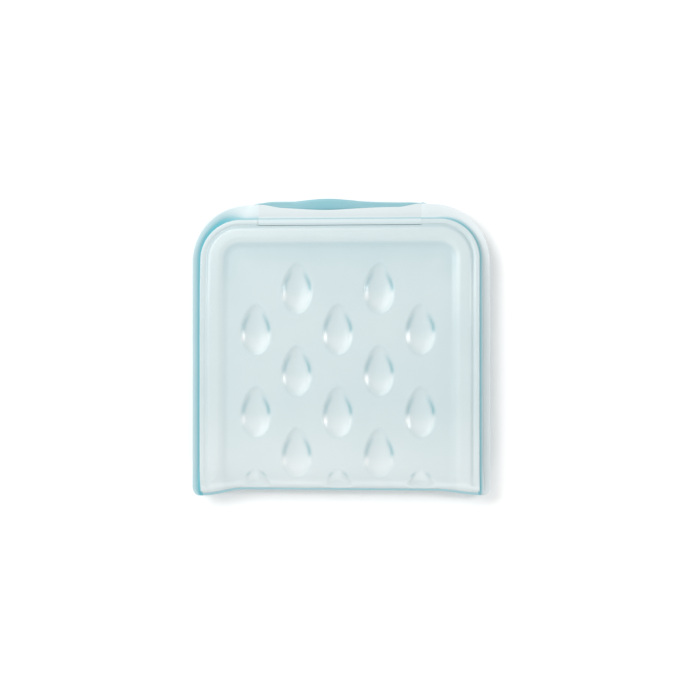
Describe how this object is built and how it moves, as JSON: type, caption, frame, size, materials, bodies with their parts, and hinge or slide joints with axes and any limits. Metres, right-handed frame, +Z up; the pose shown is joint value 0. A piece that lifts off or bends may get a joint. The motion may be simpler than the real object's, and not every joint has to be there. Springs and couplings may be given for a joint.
{
  "type": "reusable silicone bag",
  "caption": "Flat reusable food storage bag of translucent aqua silicone, with raised dimpled walls, side seams, a rolled base and a press-shut mouth with opening lips and a pull tab.",
  "frame": {"origin": "on the surface that the bag lies on, under the middle of its outline", "axes": "+Y out of the mouth, +Z up through the front wall as the bag lies on its back, +X to the bag's right"},
  "size_m": [0.1906, 0.1899, 0.022],
  "materials": {
    "clear_aqua_silicone": "translucent soft silicone, satin",
    "edge_aqua_silicone": "translucent soft silicone, thicker, satin",
    "seal_aqua_silicone": "denser translucent silicone, satin"
  },
  "bodies": {
    "bag": {"front_wall": "clear_aqua_silicone", "back_wall": "clear_aqua_silicone", "base_gusset": "edge_aqua_silicone", "side_seam_left": "edge_aqua_silicone", "side_seam_right": "edge_aqua_silicone", "mouth_weld_left": "edge_aqua_silicone", "mouth_weld_right": "edge_aqua_silicone"},
    "front_lip": {"front_lip": "clear_aqua_silicone", "seal_rib": "seal_aqua_silicone"},
    "back_lip": {"back_lip": "edge_aqua_silicone", "seal_channel": "seal_aqua_silicone", "pull_tab": "seal_aqua_silicone"}
  },
  "joints": [
    {"name": "front_lip_open", "type": "hinge", "parent": "bag", "child": "front_lip", "pos_m": [0, 0.078, 0.01476], "axis": [1, 0, 0], "range_deg": [0, 50], "stiffness_Nm_per_rad": 0.03},
    {"name": "back_lip_open", "type": "hinge", "parent": "bag", "child": "back_lip", "pos_m": [0, 0.078, 0.00724], "axis": [-1, 0, 0], "range_deg": [0, 28], "stiffness_Nm_per_rad": 0.03}
  ]
}
